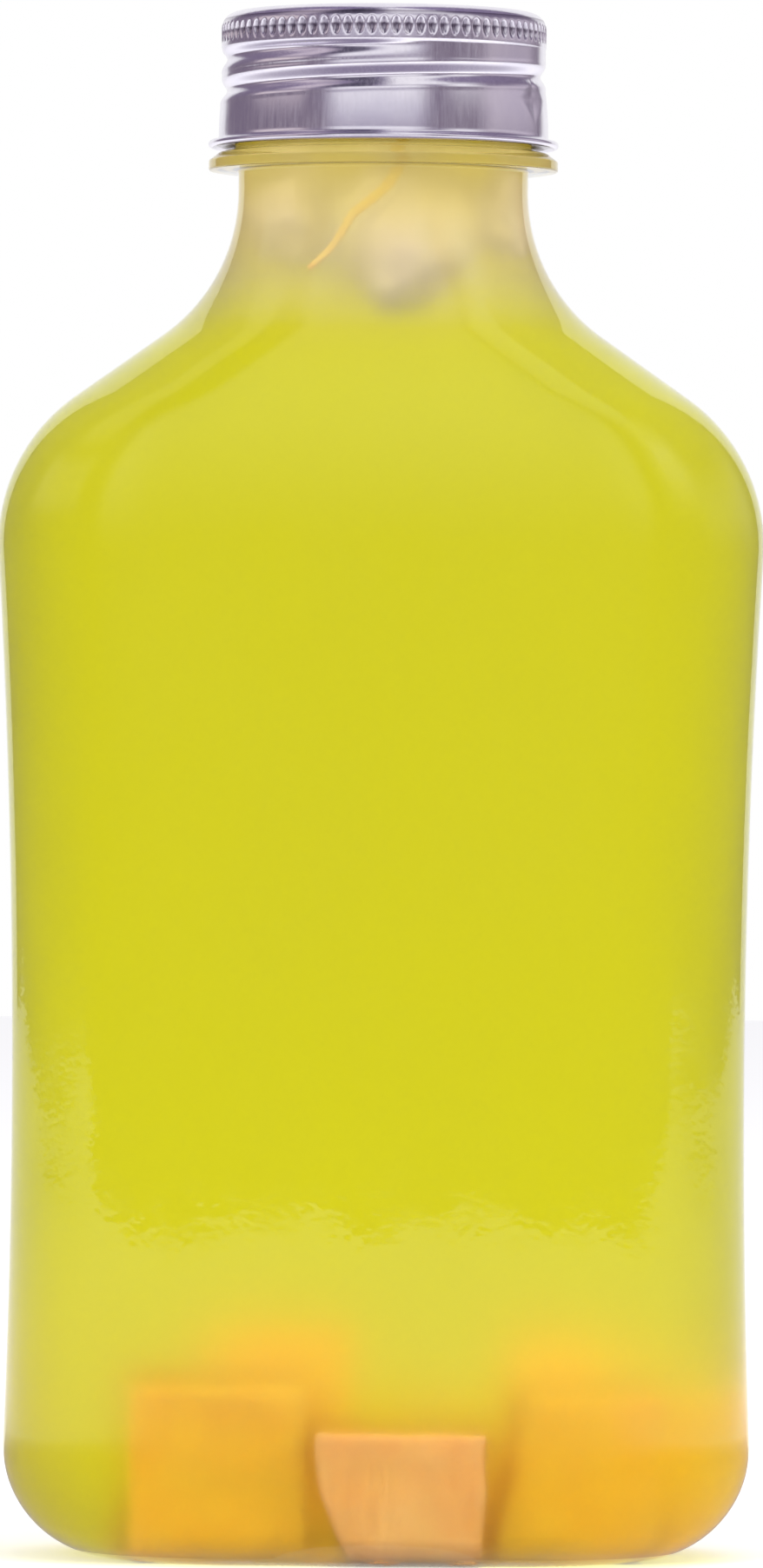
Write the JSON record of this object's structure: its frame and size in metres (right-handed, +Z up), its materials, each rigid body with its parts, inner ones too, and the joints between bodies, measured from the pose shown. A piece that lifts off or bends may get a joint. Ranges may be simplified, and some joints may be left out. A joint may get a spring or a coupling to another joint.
{
  "type": "flat drink bottle with screw cap",
  "caption": "Clear flat flask-shaped drink bottle with a rolled aluminium screw cap, full of a cloudy drink with fruit cubes and ice.",
  "frame": {"origin": "middle of the face that the bottle stands on", "axes": "+Z up along the neck, +X across the broad face, the front panel faces -Y"},
  "size_m": [0.092, 0.044, 0.1858],
  "materials": {
    "clear_plastic": "clear glossy blown plastic",
    "cap_aluminium": "bright rolled aluminium sheet with fine drawing marks",
    "liner_foam": "soft white foam disc",
    "drink_liquid": "cloudy yellow-green liquid",
    "fruit_flesh": "wet cut orange fruit flesh",
    "ice_lump": "cloudy melting ice",
    "pulp": "wet orange-yellow fibre"
  },
  "bodies": {
    "bottle_body": {"bottle": "clear_plastic", "drink": "drink_liquid", "fruit_left": "fruit_flesh", "fruit_middle": "fruit_flesh", "fruit_right": "fruit_flesh", "fruit_back_left": "fruit_flesh", "fruit_back_middle": "fruit_flesh", "fruit_back_right": "fruit_flesh", "fruit_far_right": "fruit_flesh", "ice_left": "ice_lump", "ice_middle": "ice_lump", "ice_right": "ice_lump", "ice_back": "ice_lump", "pulp_strand": "pulp"},
    "liner_body": {"liner": "liner_foam"},
    "cap_body": {"cap": "cap_aluminium"}
  },
  "joints": [
    {"name": "cap_lift", "type": "slide", "parent": "bottle_body", "child": "liner_body", "axis": [0, 0, 1], "range_m": [0, 0.0152]},
    {"name": "cap_turn", "type": "hinge", "parent": "liner_body", "child": "cap_body", "pos_m": [0, 0, 0.1859], "axis": [0, 0, 1], "range_deg": [0, 1440]}
  ],
  "couplings": [
    {"joint": "cap_lift", "follows": "cap_turn", "m_per_rad": 0.00060479}
  ]
}
